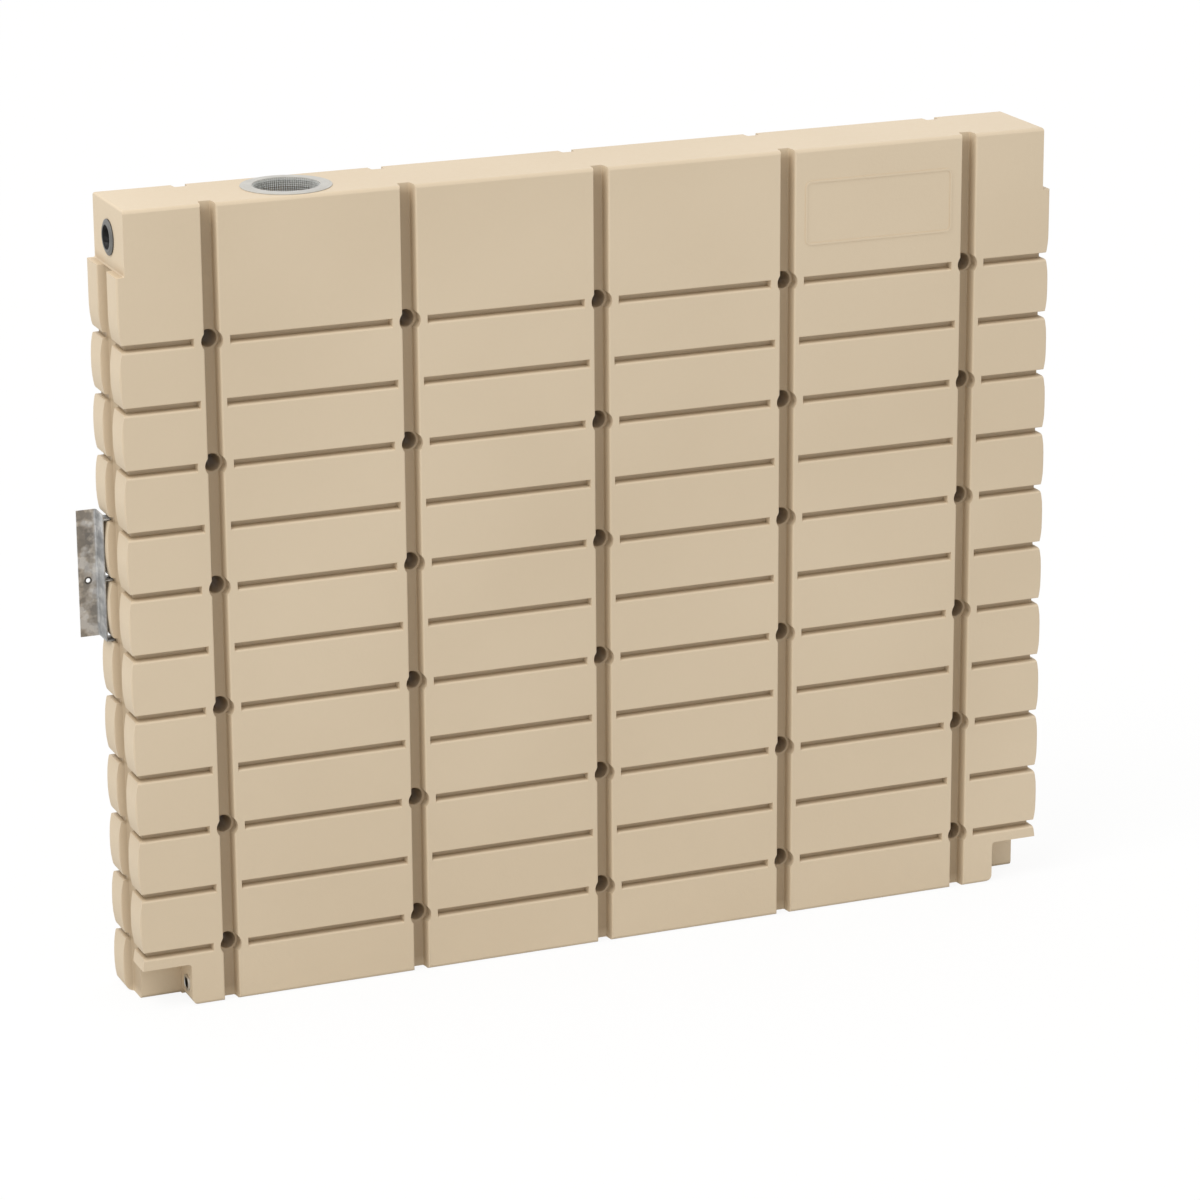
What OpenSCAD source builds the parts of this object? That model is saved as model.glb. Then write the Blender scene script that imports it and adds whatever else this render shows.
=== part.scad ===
// Slimline rainwater tank that stands against a wall.
// One hollow moulded shell, ribbed by upright and cross grooves and tied through by round tubes,
// with a strainer in its inlet, an overflow fitting, two outlet inserts and two wall brackets.
// Origin: middle of the base. X runs along the tank, the front faces -Y, Z is up. Millimetres.

/* [Shell] */
// Length of the tank over its end lobes
tank_l = 2422; // [2300:2:2700]
// Thickness of the tank from front to back
tank_t = 240; // [225:5:300]
// Height of the tank
tank_h = 1980; // [1960:10:2160]
// Wall of the moulded shell
wall = 5; // [4:0.5:6]
// Radius on the long top and bottom edges
edge_r = 12; // [8:1:16]
// Radius on the upright corners and on the top edge of each end
end_r = 6; // [4:0.5:12]
// Radius on the bottom edge of each end and of each foot
heel_r = 20; // [12:1:24]

/* [Ends] */
// Height of the plain block at the top of each end
cap_h = 157; // [130:1:200]
// How far the top block is set in from the end lobes
cap_step = 20.5; // [14:0.5:26]
// Radius between the top block and the ledge below it
cap_fillet = 4; // [2:1:9]
// Width of each end lobe, measured from the front or the back of the tank
lobe_w = 80; // [70:1:90]
// Depth of the hollow between the two end lobes
hollow_d = 23.5; // [18:0.5:28]
// Radius on the inner edges of the lobes
lobe_r = 5; // [3:1:12]
// How far each lobe swells from one cross groove's middle to the next
lobe_swell = 10; // [5:0.5:14]
// How much each side of the hollow draws in over its depth
hollow_draft = 6; // [2:0.5:9]
// Radius in the inner corners of the hollow
hollow_floor_r = 5; // [3:0.5:10]

/* [Upright grooves] */
// Number of upright grooves on each face
upright_n = 5; // [3:1:5]
// Distance between two upright grooves
upright_pitch = 492; // [440:1:500]
// Width of an upright groove at the face
upright_w = 38; // [34:1:44]
// Width of an upright groove at its floor
upright_floor = 31; // [26:1:33]
// Depth of an upright groove
upright_d = 33; // [24:1:36]
// Radius on both lips of an upright groove
upright_r = 5; // [3:0.5:6]
// Radius in the inner corners of an upright groove
upright_floor_r = 4; // [2:0.5:6]

/* [Cross grooves] */
// Number of cross grooves, counted up from the base
row_n = 11; // [5:1:11]
// Height of the lowest cross groove's middle above the base
row_base = 144.3; // [140:0.1:155]
// Distance from the top of the tank to the highest cross groove's middle
row_top = 327.7; // [310:0.1:340]
// Height of a cross groove at the face
row_h = 19; // [16:0.5:24]
// Depth of a cross groove
row_d = 18; // [14:0.5:20]
// How much a cross groove's sill rises towards the floor
row_rise = 4.5; // [2:0.5:6]
// How much a cross groove's top wall drops towards the floor
row_drop = 2.5; // [1:0.5:4]
// Radius on the sill's edge
sill_r = 6; // [3:0.5:7]
// Radius on the top wall's edge
brow_r = 3; // [2:0.5:4]
// Land between a plain cross groove and the upright groove
land_plain = 12; // [10:0.5:14]
// Land between a cross groove beside a tube and the upright groove
land_tube = 24; // [22:0.5:30]
// How much each end of a cross groove draws in over its depth
row_draft = 5; // [2:0.5:7]

/* [Tie tubes] */
// Inside diameter of a tie tube
tube_d = 42; // [34:1:44]
// Diameter of the round recess at a tube's mouth
mouth_d = 54; // [50:1:58]
// Radius on the lip between the recess and the tube
lip_r = 4; // [2:0.5:5]

/* [Corner pockets] */
// Length of the pocket from the foot's outer side to the tank's end
pocket_l = 126; // [110:1:140]
// Height of the pocket beside each foot
pocket_h = 108; // [90:1:112]
// Radius in the pocket's inner corners
pocket_r = 10; // [5:1:14]

/* [Raised border] */
// Length of the raised border
border_l = 398; // [300:1:410]
// Height of the raised border
border_h = 160; // [100:1:180]
// Width of the raised line
border_line = 5; // [3:0.5:8]
// How far the raised line stands out
border_up = 1.5; // [1:0.5:3]
// Outer corner radius of the raised border
border_r = 16; // [8:1:24]
// Distance from the top of the tank to the border
border_drop = 80; // [60:1:120]

/* [Inlet strainer] */
// Distance from the tank's middle to the middle of the inlet
inlet_at = 753; // [700:1:780]
// Outer diameter of the strainer's flange
strainer_od = 219; // [200:1:224]
// Clear diameter through the strainer's ring
strainer_id = 161; // [150:1:166]
// Thickness of the strainer's flange
strainer_flange = 3; // [2:0.5:6]
// Wall of the strainer's sleeve
sleeve_wall = 3; // [2:0.5:4]
// How far the sleeve reaches below the top of the tank
sleeve_drop = 20; // [12:1:30]
// Thickness of the ring's lip below the top of the tank
lip_drop = 3; // [2:0.5:5]
// Width of the lip inside the sleeve
lip_w = 6.3; // [5:0.1:8]
// Height of the bead that holds the basket's rim up in the sleeve
sleeve_bead = 1.5; // [1:0.5:2]
// Depth of the mesh basket below the ring's lip
basket_h = 72; // [50:1:90]
// Thickness of the basket
basket_wall = 1.2; // [1:0.1:2]
// Windows around the basket in each row
window_n = 30; // [16:1:30]
// Rows of windows
window_rows = 4; // [2:1:4]
// Width of the bars between the windows
window_bar = 5; // [4:0.5:8]

/* [Overflow fitting] */
// Distance from the top of the tank to the middle of the overflow
overflow_drop = 85; // [70:1:95]
// Bore of the overflow, the core diameter of a two inch pipe thread
overflow_bore = 56.66; // [50:0.01:58]
// Outer diameter of the overflow's flange
overflow_od = 86; // [84:1:90]
// Wall of the overflow's spigot
overflow_wall = 4.5; // [3:0.5:6]
// How far the flange stands out from its gasket
overflow_dome = 5; // [4:0.5:8]
// Thickness of the flange at its edge
overflow_edge = 1.5; // [1:0.5:3]
// Width of the flat rim around the overflow's mouth
overflow_rim = 7; // [3:0.5:9]
// Thickness of the gasket
gasket_t = 1.6; // [1:0.1:3]
// Length of the spigot inside the tank
spigot_in = 26; // [20:1:40]
// Thickness of the lock nut
nut_t = 12; // [8:1:16]
// Width of the lock nut across its flats
nut_af = 84; // [80:1:96]

/* [Outlet inserts] */
// Height of the outlets above the base
outlet_z = 47; // [40:1:60]
// Bore of an outlet, the core diameter of a three quarter inch pipe thread
outlet_bore = 24.12; // [18:0.01:26]
// Diameter of the insert's head
insert_od = 41; // [36:1:44]
// How far the head stands out of the shell
insert_up = 4; // [2:0.5:6]
// How far the head is sunk in the shell
insert_sink = 5; // [3:0.5:8]
// Diameter of the insert's body
insert_body = 34; // [31:1:36]
// Length of the insert behind its head
insert_in = 20; // [14:1:30]
// Wall of the moulded boss around the insert
boss_wall = 6; // [4:0.5:8]

/* [Wall brackets] */
// Thickness of the folded sheet
sheet_t = 3; // [2:0.5:4]
// Outer radius of the fold between the flange and the web
bend_r = 6; // [5:0.5:8]
// Width of the flange on the wall
flange_w = 50; // [40:1:60]
// Depth of the web that comes forward from the wall
web_d = 62; // [50:1:70]
// Gap between the web and the end lobe
web_gap = 1.5; // [1:0.5:20]
// Lowest cross groove that a bracket hooks into, counted up from the base
bracket_row = 5; // [2:1:7]
// Number of cross grooves that a bracket spans
bracket_rows = 3; // [2:1:3]
// Length of a tongue along the groove
tongue_w = 40; // [25:1:50]
// Diameter of the wall bolt's hole
bolt_d = 11; // [9:1:16]
// How far the bolt hole sits below the middle of the flange
bolt_drop = 18; // [0:1:40]

/* [Hidden] */
$fn = 72;

// Gap between a fitting and the hole or groove that it sits in
seat_gap = 0.2;
// Overshoot of a cutter past the face that it cuts
over = 4;
// Lap by which two blocks of one piece run into each other
lap = 1;
// How far the core of an end's outline stays behind the end lobes
core_in = 100;
// Share by which a rounding's circle is full, so that it meets its two faces at a slight crease
crossing = 1.002;
// How far an outline that only rounds edges stands outside the outline that gives the face
proud = 0.3;
// How far a straight face lies behind the swell that runs into it
crease = 0.05;
// Least radius that a rounding keeps on the inner side of the wall
least_r = 0.5;

half_l = tank_l / 2;
half_t = tank_t / 2;
ledge_z = tank_h - cap_h;
cap_x = half_l - cap_step;
lobe_y = half_t - lobe_w;
hollow_x = half_l - hollow_d;
row_pitch = (tank_h - row_top - row_base) / (row_n - 1);
swell_r = (row_pitch * row_pitch / 4 + lobe_swell * lobe_swell) / (2 * lobe_swell);

border_x = 1.5 * upright_pitch;
border_z = tank_h - border_drop - border_h / 2;

sleeve_r = strainer_id / 2 + lip_w + sleeve_wall;
inlet_r = sleeve_r + seat_gap;

overflow_z = tank_h - overflow_drop;
spigot_r = overflow_bore / 2 + overflow_wall;

foot_x = half_l - pocket_l;
pocket_y = lobe_y - hollow_draft - hollow_floor_r;
pocket_d = half_t - pocket_y;
outlet_y = -half_t + lobe_w / 2;
boss_r = insert_od / 2 + boss_wall;

tongue_z = -row_h / 2 + row_rise + seat_gap;
web_x = half_l + web_gap;
bracket_z0 = row_z(bracket_row) + tongue_z;
bracket_z1 = row_z(bracket_row + bracket_rows - 1) + row_h / 2;
bolt_x = web_x + sheet_t + (flange_w - sheet_t) / 2;
bolt_z = (bracket_z0 + bracket_z1) / 2 - bolt_drop;

function row_z(i) = row_base + i * row_pitch;
function upright_x(k) = (k - (upright_n - 1) / 2) * upright_pitch;
function unit(a) = [cos(a), sin(a)];
function inner_r(r, o) = max(r - o, least_r);

// The sliver between a corner at p, whose edges leave at angles a1 and a2, and its rounding
module corner_sliver(p, a1, a2, r) {
    half = (a2 - a1) / 2;
    mid = (a1 + a2) / 2;
    reach = r / tan(half);
    centre = p + unit(mid) * r / sin(half);
    difference() {
        polygon([p - unit(mid) * 0.5, p + unit(a1) * reach, centre, p + unit(a2) * reach]);
        translate(centre) circle(r * crossing);
    }
}

// Rectangle about the origin with rounded corners
module soft_rect(size, r) {
    difference() {
        square(size, center = true);
        for (sx = [0, 1], sy = [0, 1])
            mirror([sx, 0])
                mirror([0, sy])
                    corner_sliver([size[0] / 2, size[1] / 2], 180, 270, r);
    }
}

// Lays a side view, drawn as [Y, Z], along X
module along_x(length) {
    rotate([90, 0, 90])
        linear_extrude(height = length, center = true)
            children();
}

// Lays an end-on view, drawn as [X, Z], along Y
module along_y(length) {
    rotate([90, 0, 0])
        linear_extrude(height = length, center = true)
            children();
}

// Section of a groove in a face at y = 0 that opens towards -y
module groove(w_mouth, w_floor, depth, r_mouth, r_floor) {
    lean = atan((w_mouth - w_floor) / 2 / depth);
    difference() {
        polygon([[-w_mouth / 2, -over], [w_mouth / 2, -over], [w_mouth / 2, 0],
                 [w_floor / 2, depth], [-w_floor / 2, depth], [-w_mouth / 2, 0]]);
        for (s = [0, 1])
            mirror([s, 0])
                corner_sliver([w_floor / 2, depth], 180, 270 + lean, r_floor);
    }
    if (r_mouth > 0)
        for (s = [0, 1])
            mirror([s, 0])
                corner_sliver([w_mouth / 2, 0], 0, 90 + lean, r_mouth);
}

// Plan of the shell with its upright grooves, taken in by o
module plan(o) {
    difference() {
        soft_rect([tank_l - 2 * o + 2 * proud, tank_t - 2 * o], inner_r(end_r, o));
        for (k = [0:upright_n - 1], s = [0, 1])
            mirror([0, s])
                translate([upright_x(k), -half_t])
                    groove(upright_w + 2 * o, upright_floor + 2 * o, upright_d + o,
                           o > 0 ? 0 : upright_r, upright_floor_r + o);
    }
}

// Side view of the shell, taken in by o
module side_view(o) {
    translate([0, tank_h / 2])
        soft_rect([tank_t - 2 * o + 2 * proud, tank_h - 2 * o + 2 * proud], edge_r - o);
}

// Stretch of an end lobe below cross groove i, swelling outwards
module lobe(i, o) {
    z0 = i == 0 ? o : row_z(i - 1);
    z1 = min(row_z(i), ledge_z - o);
    intersection() {
        translate([half_l - swell_r, row_z(i) - row_pitch / 2]) circle(swell_r - o, $fn = 360);
        translate([0, z0]) square([half_l, z1 - z0]);
    }
}

// Cross groove's notch in the outline of an end
module notch(o) {
    h = row_h / 2 + o;
    d = row_d + o;
    polygon([[half_l + over, -h], [half_l, -h], [half_l - d, -h + row_rise],
             [half_l - d, h - row_drop], [half_l, h], [half_l + over, h]]);
}

// One half of the end-on view, seen from the front, taken in by o
module half_front_view(o) {
    low = row_z(0) - row_pitch / 2 - o;
    heel_x = half_l - swell_r + sqrt(pow(swell_r - o, 2) - low * low);
    lean = asin(low / (swell_r - o));
    straight_z = row_z(row_n) - row_pitch / 2;
    difference() {
        union() {
            translate([0, o]) square([half_l - core_in, tank_h - 2 * o]);
            for (i = [0:row_n])
                lobe(i, o);
            translate([0, straight_z]) square([half_l - crease - o, ledge_z - straight_z - o]);
            translate([0, ledge_z - row_h]) square([cap_x - o, cap_h + row_h - o]);
            corner_sliver([cap_x - o, ledge_z - o], 0, 90, cap_fillet);
        }
        for (i = [0:row_n - 1])
            translate([0, row_z(i)]) notch(o);
        corner_sliver([cap_x - o, tank_h - o], 180, 270, inner_r(end_r, o));
        corner_sliver([heel_x, o], 90 - lean, 180, heel_r - o);
    }
}

// Outline of the whole shell seen from the front, taken in by o
module front_view(o) {
    for (s = [0, 1])
        mirror([s, 0])
            half_front_view(o);
}

// Hollow between the two lobes of each end, grown by o
module end_hollows(o) {
    mouth = 2 * (lobe_y + o);
    for (s = [0, 1])
        mirror([s, 0, 0])
            translate([0, 0, -over])
                linear_extrude(height = ledge_z + over + o)
                    translate([half_l, 0])
                        rotate(90)
                            groove(mouth, mouth - 2 * hollow_draft, hollow_d + o,
                                   o > 0 ? 0 : lobe_r, hollow_floor_r + o);
}

// Section of a cross groove in the front face, drawn as [Y, Z], grown by o
module row_section(o) {
    h = row_h / 2 + o;
    d = row_d + o;
    polygon([[-half_t - over, -h], [-half_t, -h], [-half_t + d, -h + row_rise],
             [-half_t + d, h - row_drop], [-half_t, h], [-half_t - over, h]]);
    if (o == 0) {
        corner_sliver([-half_t, -h], -90, atan(row_rise / d), sill_r);
        corner_sliver([-half_t, h], -atan(row_drop / d), 90, brow_r);
    }
}

// Land that parts a cross groove of the given depth from an upright groove, in plan
module land(half_w, depth) {
    foot_w = half_w + row_draft * (depth + over) / row_d;
    polygon([[-half_w, -half_t - over], [half_w, -half_t - over],
             [foot_w, -half_t + depth + over], [-foot_w, -half_t + depth + over]]);
}

// Cross grooves of every second row from the first one given, grown by o
module rows(first, gap, o) {
    half_w = upright_w / 2 + gap - o;
    depth = row_d + o;
    intersection() {
        along_x(tank_l + 2 * over)
            for (i = [first:2:row_n - 1], s = [0, 1])
                mirror([s, 0])
                    translate([0, row_z(i)])
                        row_section(o);
        linear_extrude(height = tank_h)
            for (s = [0, 1])
                mirror([0, s])
                    difference() {
                        translate([-half_l - over, -half_t - over])
                            square([tank_l + 2 * over, depth + 1.5 * over]);
                        if (gap > 3 * o)
                            for (k = [0:upright_n - 1])
                                translate([upright_x(k), 0])
                                    land(half_w, depth);
                    }
    }
}

// Tie tubes through the upright grooves with their round mouths, grown by o
module tubes(o) {
    for (i = [0:2:row_n - 1], k = [0:upright_n - 1])
        translate([upright_x(k), 0, row_z(i)])
            rotate([90, 0, 0])
                rotate_extrude()
                    tube_profile(o);
}

// Half section of a tie tube's space: the tube, the recess at each mouth and the lip between them
module tube_profile(o) {
    floor_z = half_t - upright_d - o;
    translate([0, -half_t - over]) square([tube_d / 2 + o, tank_t + 2 * over]);
    for (s = [0, 1])
        mirror([0, s]) {
            translate([0, floor_z]) square([mouth_d / 2 + o, half_t + over - floor_z]);
            if (o == 0)
                corner_sliver([tube_d / 2, floor_z], 270, 360, lip_r);
        }
}

// Pockets in the front lobes at both bottom corners, grown by o
module pockets(o) {
    length = pocket_l + over;
    for (s = [0, 1])
        mirror([s, 0, 0]) {
            intersection() {
                translate([0, -half_t, 0])
                    along_y(2 * (pocket_d + o))
                        pocket_view(length, o);
                translate([0, 0, -over])
                    linear_extrude(height = pocket_h + 2 * over)
                        pocket_plan(length, o);
            }
            if (o == 0)
                translate([foot_x + length / 2, 0, 0])
                    along_x(length)
                        corner_sliver([-pocket_y, 0], 0, 90, edge_r);
        }
}

// Pocket seen from the front, with the rounded heel of the foot beside it
module pocket_view(length, o) {
    difference() {
        translate([foot_x - o, -over]) square([length + o, pocket_h + o + over]);
        corner_sliver([foot_x - o, pocket_h + o], 270, 360, pocket_r);
    }
    corner_sliver([foot_x - o, o], 90, 180, heel_r - o);
    if (o > 0)
        translate([foot_x - o - heel_r, -over]) square([heel_r + o, over + o]);
}

// Pocket in plan, with a rounded edge where its back wall meets the end hollow
module pocket_plan(length, o) {
    translate([foot_x - heel_r, -half_t - over])
        square([length + heel_r, pocket_d + over + o]);
    if (o == 0)
        corner_sliver([hollow_x, -pocket_y], 90, 180, lobe_r);
}

// The whole outer form of the shell, or with o the space inside a wall of thickness o
module form(o) {
    difference() {
        intersection() {
            translate([0, 0, -over])
                linear_extrude(height = tank_h + 2 * over)
                    plan(o);
            along_y(tank_t + 2 * over) front_view(o);
            along_x(tank_l + 2 * over) side_view(o);
        }
        end_hollows(o);
        rows(0, land_tube, o);
        rows(1, land_plain, o);
        tubes(o);
        pockets(o);
    }
}

// Places its children on an outlet's axis at the foot's outer side, with Z pointing out of the tank
module at_outlet(side) {
    translate([side * foot_x, outlet_y, outlet_z])
        rotate([0, side * 90, 0])
            children();
}

// Places its children on the overflow's axis at the end of the top block, with Z pointing out
module at_overflow() {
    translate([-cap_x, 0, overflow_z])
        rotate([0, -90, 0])
            children();
}

module tank_shell() {
    color([0.80, 0.72, 0.60])
    difference() {
        union() {
            form(0);
            translate([border_x, -half_t, border_z])
                along_y(2 * border_up)
                    difference() {
                        soft_rect([border_l, border_h], border_r);
                        soft_rect([border_l - 2 * border_line, border_h - 2 * border_line],
                                  border_r - border_line);
                    }
        }
        difference() {
            form(wall);
            for (side = [-1, 1])
                at_outlet(side)
                    translate([0, 0, -insert_sink - insert_in])
                        cylinder(r = boss_r, h = insert_sink + insert_in);
        }
        translate([-inlet_at, 0, tank_h - 2 * wall])
            cylinder(r = inlet_r, h = 3 * wall);
        at_overflow()
            translate([0, 0, -2 * wall])
                cylinder(r = spigot_r + seat_gap, h = 3 * wall);
        for (side = [-1, 1])
            at_outlet(side) {
                translate([0, 0, -insert_sink])
                    cylinder(r = insert_od / 2 + seat_gap, h = insert_sink + over);
                translate([0, 0, -insert_sink - insert_in - over])
                    cylinder(r = insert_body / 2 + seat_gap, h = insert_sink + insert_in + over);
            }
    }
}

module strainer_ring() {
    ring_r = strainer_id / 2;
    edge = strainer_flange / 2;
    bead_z = -lip_drop - basket_wall - seat_gap - sleeve_bead;
    color([0.78, 0.79, 0.78])
    translate([-inlet_at, 0, tank_h])
        rotate_extrude() {
            difference() {
                translate([ring_r, 0]) square([strainer_od / 2 - ring_r, strainer_flange]);
                corner_sliver([strainer_od / 2, strainer_flange], 180, 270, edge);
                corner_sliver([ring_r, strainer_flange], 270, 360, edge);
            }
            translate([ring_r, -lip_drop]) square([lip_w + lap, lip_drop + lap]);
            translate([sleeve_r - sleeve_wall, -sleeve_drop]) square([sleeve_wall, sleeve_drop + lap]);
            translate([sleeve_r - sleeve_wall - sleeve_bead, bead_z])
                square([sleeve_bead + lap, sleeve_bead]);
        }
}

module strainer_basket() {
    basket_r = strainer_id / 2 - seat_gap;
    rim_r = sleeve_r - sleeve_wall - seat_gap;
    pitch = (basket_h - 2 * window_bar) / window_rows;
    window_w = 2 * PI * basket_r / window_n - window_bar;
    color([0.62, 0.63, 0.62])
    translate([-inlet_at, 0, tank_h - lip_drop])
        difference() {
            rotate_extrude() {
                translate([basket_r - basket_wall, -basket_wall])
                    square([rim_r - basket_r + basket_wall, basket_wall]);
                translate([basket_r - basket_wall, -basket_h]) square([basket_wall, basket_h]);
                translate([0, -basket_h]) square([basket_r, basket_wall]);
            }
            for (a = [0:window_n - 1], j = [0:window_rows - 1])
                rotate(a * 360 / window_n)
                    translate([basket_r, 0, -basket_h + window_bar + (j + 0.5) * pitch])
                        cube([8 * basket_wall, window_w, pitch - window_bar], center = true);
        }
}

module overflow_flange() {
    bore_r = overflow_bore / 2;
    base_r = overflow_od / 2;
    face_z = gasket_t + overflow_dome;
    color([0.60, 0.60, 0.58])
    at_overflow()
        rotate_extrude() {
            polygon([[bore_r, -wall - spigot_in], [spigot_r, -wall - spigot_in], [spigot_r, gasket_t],
                     [base_r, gasket_t], [base_r, gasket_t + overflow_edge],
                     [bore_r + overflow_rim, face_z], [bore_r, face_z]]);
        }
}

module overflow_gasket() {
    color([0.15, 0.15, 0.15])
    at_overflow()
        difference() {
            cylinder(d = overflow_od, h = gasket_t);
            translate([0, 0, -over]) cylinder(r = spigot_r + seat_gap, h = gasket_t + 2 * over);
        }
}

module overflow_nut() {
    color([0.25, 0.25, 0.26])
    at_overflow()
        translate([0, 0, -wall - nut_t])
            difference() {
                cylinder(d = nut_af / cos(30), h = nut_t, $fn = 6);
                translate([0, 0, -over]) cylinder(r = spigot_r + seat_gap, h = nut_t + 2 * over);
            }
}

// Turned outlet insert: a round head and a narrower body, bored through
module outlet_insert(side) {
    color([0.72, 0.72, 0.70])
    at_outlet(side)
        difference() {
            union() {
                translate([0, 0, -insert_sink])
                    cylinder(d = insert_od, h = insert_sink + insert_up);
                translate([0, 0, -insert_sink - insert_in])
                    cylinder(d = insert_body, h = insert_in + lap);
            }
            translate([0, 0, -insert_sink - insert_in - over])
                cylinder(d = outlet_bore, h = insert_sink + insert_in + insert_up + 2 * over);
        }
}

module outlet_insert_left() {
    outlet_insert(-1);
}

module outlet_insert_right() {
    outlet_insert(1);
}

// Plan of the folded sheet, with the fold's outer corner at the origin
module folded_plan() {
    difference() {
        union() {
            translate([0, -sheet_t]) square([flange_w, sheet_t]);
            translate([0, -web_d]) square([sheet_t, web_d]);
            corner_sliver([sheet_t, -sheet_t], -90, 0, bend_r - sheet_t);
        }
        corner_sliver([0, 0], -90, 0, bend_r);
    }
}

// Folded sheet bracket: a flange on the wall, a web beside the end lobe, and tongues in its grooves
module wall_bracket() {
    tongue_x = half_l - row_d + seat_gap;
    color([0.50, 0.52, 0.54])
    difference() {
        union() {
            translate([web_x, half_t, bracket_z0])
                linear_extrude(height = bracket_z1 - bracket_z0)
                    folded_plan();
            for (i = [0:bracket_rows - 1])
                translate([tongue_x, half_t - web_d, row_z(bracket_row + i) + tongue_z])
                    cube([web_x + sheet_t - tongue_x, tongue_w, sheet_t]);
        }
        translate([bolt_x, half_t, bolt_z])
            rotate([90, 0, 0])
                cylinder(d = bolt_d, h = 4 * sheet_t, center = true);
    }
}

module wall_bracket_left() {
    mirror([1, 0, 0])
        wall_bracket();
}

module wall_bracket_right() {
    wall_bracket();
}

tank_shell();
strainer_ring();
strainer_basket();
overflow_flange();
overflow_gasket();
overflow_nut();
outlet_insert_left();
outlet_insert_right();
wall_bracket_left();
wall_bracket_right();
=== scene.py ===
# Slimline water tank: camera, light, finishes and the fine shapes of its fittings.
# Metres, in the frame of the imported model: X along the tank, the front faces -Y, Z is up.
import math

import bmesh
import bpy
import numpy as np
from mathutils import Matrix, Vector


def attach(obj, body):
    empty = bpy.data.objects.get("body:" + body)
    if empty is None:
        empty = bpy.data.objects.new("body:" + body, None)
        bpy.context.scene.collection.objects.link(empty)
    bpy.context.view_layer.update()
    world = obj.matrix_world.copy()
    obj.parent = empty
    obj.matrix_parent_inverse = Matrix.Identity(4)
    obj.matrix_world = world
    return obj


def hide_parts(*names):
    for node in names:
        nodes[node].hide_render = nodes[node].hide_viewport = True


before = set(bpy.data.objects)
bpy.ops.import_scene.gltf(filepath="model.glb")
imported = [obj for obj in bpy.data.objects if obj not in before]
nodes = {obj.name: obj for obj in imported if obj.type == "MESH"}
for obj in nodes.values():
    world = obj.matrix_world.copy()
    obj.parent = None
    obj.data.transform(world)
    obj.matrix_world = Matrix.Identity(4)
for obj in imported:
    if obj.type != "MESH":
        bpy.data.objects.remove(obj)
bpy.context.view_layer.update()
scene = bpy.context.scene

# The moulding's sizes that its finish and the fittings share
TANK_TOP = 1.980
LEDGE_Z, LEDGE_RISE = 1.823, 0.025
FACE_Y = 0.120
END_X, CAP_X, FOOT_X = 1.211, 1.1905, 1.085
POCKET_TOP, POCKET_BACK = 0.108, 0.029
ROW_BASE, ROW_PITCH, ROW_DEPTH = 0.1443, 0.1508, 0.018
ROWS_ABOVE_FIRST = 10.2
UPRIGHT_PITCH, UPRIGHT_HALF = 0.492, 0.022

# The strainer: the ring's heights are from the tank's top, the basket's from the ring's lower lip
INLET_X = -0.753
RING_R, RING_OUT_R = 0.0805, 0.1095
SLEEVE_R, SLEEVE_T, SLEEVE_H = 0.0898, 0.003, 0.020
FLANGE_T, LIP = 0.003, 0.003
BASKET_R, BASKET_H = 0.0800, 0.072
RIM_R, RIM_T = 0.0866, 0.0012
WIRE_R, WIRE_INSET, WIRE_RISE = 0.00095, 0.0014, 0.0045
UPRIGHT_WIRES, HOOP_WIRES, FLOOR_WIRES = 92, 14, 30

# The overflow and the outlets: heights are along their bores, outwards from the seat
OVERFLOW_Z, OVERFLOW_R, SPIGOT_R = 1.895, 0.02833, 0.03283
OVERFLOW_PLACE = Matrix.Translation((-CAP_X, 0.0, OVERFLOW_Z)) @ Matrix.Rotation(-math.pi / 2, 4, "Y")
SEAL_T = 0.0016
OUTLET_Y, OUTLET_Z, OUTLET_R = -0.080, 0.047, 0.01206

# The wall brackets, as bent from sheet
WEB_X, WEB_FRONT, FLANGE_W = 1.2125, 0.058, 0.04995
SHEET, BEND_R = 0.003, 0.006
BRACKET_LOW, BRACKET_HIGH = 0.8935, 1.2094
BOLT_X, BOLT_Z, BOLT_R = 1.239, 1.03345, 0.0055
TONGUE_FLOORS = (0.8935, 1.0443, 1.1951)
TONGUE_BACK, TONGUE_GAP = 0.098, 0.0002


# Camera and light

LENS_MM, SENSOR_MM = 139.69, 36.0
CAMERA_PLACE = (-4.159, -10.239, 4.2715)
CAMERA_RIGHT = (0.92453, -0.38107, -0.00593)
CAMERA_UP = (0.11750, 0.27018, 0.95562)
CAMERA_BACK = (-0.36256, -0.88419, 0.29456)

LAMP_TINT = (1.0, 0.99, 0.97)
ROOM_TINT, ROOM_STRENGTH = (1.0, 0.995, 0.985, 1.0), 0.85
WHITE = (1.0, 1.0, 1.0, 1.0)
FLOOR_TINT, FLOOR_HALF = (0.70, 0.70, 0.69, 1.0), 40
FLOOR_WHITE, FLOOR_WHITE_SHARE = 1.05, 0.85


def photo_camera():
    lens = bpy.data.cameras.new("photo_camera")
    lens.sensor_width = SENSOR_MM
    lens.lens = LENS_MM
    lens.clip_end = 100.0
    camera = bpy.data.objects.new("photo_camera", lens)
    scene.collection.objects.link(camera)
    turn = Matrix((CAMERA_RIGHT, CAMERA_UP, CAMERA_BACK)).transposed()
    camera.matrix_world = Matrix.Translation(CAMERA_PLACE) @ turn.to_4x4()
    scene.camera = camera


def hang_lamp(lamp, strength, place, target):
    lamp.energy = strength
    lamp.color = LAMP_TINT
    holder = bpy.data.objects.new(lamp.name, lamp)
    scene.collection.objects.link(holder)
    holder.location = place
    holder.rotation_mode = "QUATERNION"
    holder.rotation_quaternion = (Vector(place) - Vector(target)).to_track_quat("Z", "Y")


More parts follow.
